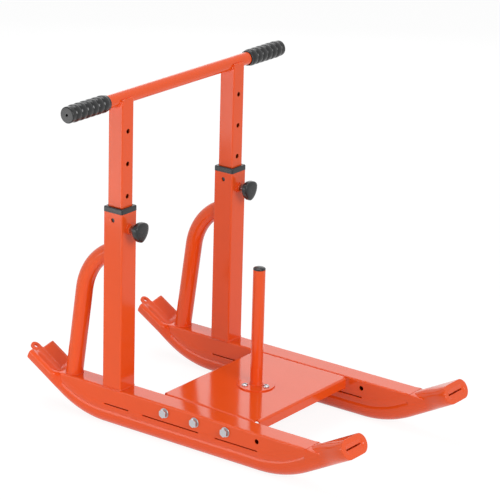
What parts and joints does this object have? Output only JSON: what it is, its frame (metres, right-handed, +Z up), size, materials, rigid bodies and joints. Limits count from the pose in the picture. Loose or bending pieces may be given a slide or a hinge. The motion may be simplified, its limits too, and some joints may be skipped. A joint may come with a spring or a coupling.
{
  "type": "drag sled",
  "caption": "Push and drag sled on two upturned round runners, with a deck and weight post, braced uprights and a height-adjustable handlebar with ribbed grips.",
  "frame": {"origin": "middle of the footprint on the floor, on the mid plane between the runners", "axes": "+Z up; -Y is the front, where the runner tips are flared and slotted; +Y is the rear, where the user stands and the tow eyes are; X runs across, along the handlebar"},
  "size_m": [0.74, 0.877, 0.755],
  "materials": {
    "orange_paint": "glossy orange powder coat on steel",
    "black_plastic": "moulded black plastic, satin",
    "grip_rubber": "moulded black rubber, satin sheen on the ribs",
    "zinc_plate": "bright zinc plate"
  },
  "bodies": {
    "frame": {"runner_left": "orange_paint", "beam_left": "orange_paint", "upright_left": "orange_paint", "brace_left": "orange_paint", "lock_boss_left": "orange_paint", "collar_left": "black_plastic", "deck_bolt_left_1": "zinc_plate", "deck_washer_left_1": "zinc_plate", "deck_nut_left_1": "zinc_plate", "deck_bolt_left_2": "zinc_plate", "deck_washer_left_2": "zinc_plate", "deck_nut_left_2": "zinc_plate", "deck_bolt_left_3": "zinc_plate", "deck_washer_left_3": "zinc_plate", "deck_nut_left_3": "zinc_plate", "runner_right": "orange_paint", "beam_right": "orange_paint", "upright_right": "orange_paint", "brace_right": "orange_paint", "lock_boss_right": "orange_paint", "collar_right": "black_plastic", "deck_bolt_right_1": "zinc_plate", "deck_washer_right_1": "zinc_plate", "deck_nut_right_1": "zinc_plate", "deck_bolt_right_2": "zinc_plate", "deck_washer_right_2": "zinc_plate", "deck_nut_right_2": "zinc_plate", "deck_bolt_right_3": "zinc_plate", "deck_washer_right_3": "zinc_plate", "deck_nut_right_3": "zinc_plate", "deck": "orange_paint", "post_flange": "orange_paint", "post_tube": "orange_paint", "post_cap": "black_plastic", "flange_screw_1": "zinc_plate", "flange_nut_1": "zinc_plate", "flange_screw_2": "zinc_plate", "flange_nut_2": "zinc_plate", "flange_screw_3": "zinc_plate", "flange_nut_3": "zinc_plate"},
    "handle": {"mast_left": "orange_paint", "mast_right": "orange_paint", "mast_foot_left": "black_plastic", "mast_foot_right": "black_plastic", "grip_left": "grip_rubber", "grip_right": "grip_rubber", "handlebar": "orange_paint"},
    "left_lock_pin": {"lock_pin_left": "zinc_plate"},
    "left_lock_knob": {"lock_knob_left": "black_plastic"},
    "right_lock_pin": {"lock_pin_right": "zinc_plate"},
    "right_lock_knob": {"lock_knob_right": "black_plastic"}
  },
  "joints": [
    {"name": "handle_height", "type": "slide", "parent": "frame", "child": "handle", "axis": [0, 0, 1], "range_m": [-0.2139, 0]},
    {"name": "left_lock_travel", "type": "slide", "parent": "frame", "child": "left_lock_pin", "axis": [0, 1, 0], "range_m": [0, 0.0095]},
    {"name": "left_lock_turn", "type": "hinge", "parent": "left_lock_pin", "child": "left_lock_knob", "pos_m": [-0.194, 0.13511, 0.4534], "axis": [0, 1, 0], "range_deg": [0, 2281]},
    {"name": "right_lock_travel", "type": "slide", "parent": "frame", "child": "right_lock_pin", "axis": [0, 1, 0], "range_m": [0, 0.0095]},
    {"name": "right_lock_turn", "type": "hinge", "parent": "right_lock_pin", "child": "right_lock_knob", "pos_m": [0.194, 0.13511, 0.4534], "axis": [0, 1, 0], "range_deg": [0, 2281]}
  ],
  "couplings": [
    {"joint": "left_lock_turn", "follows": "left_lock_travel", "rad_per_m": 4188.8},
    {"joint": "right_lock_turn", "follows": "right_lock_travel", "rad_per_m": 4188.8}
  ]
}
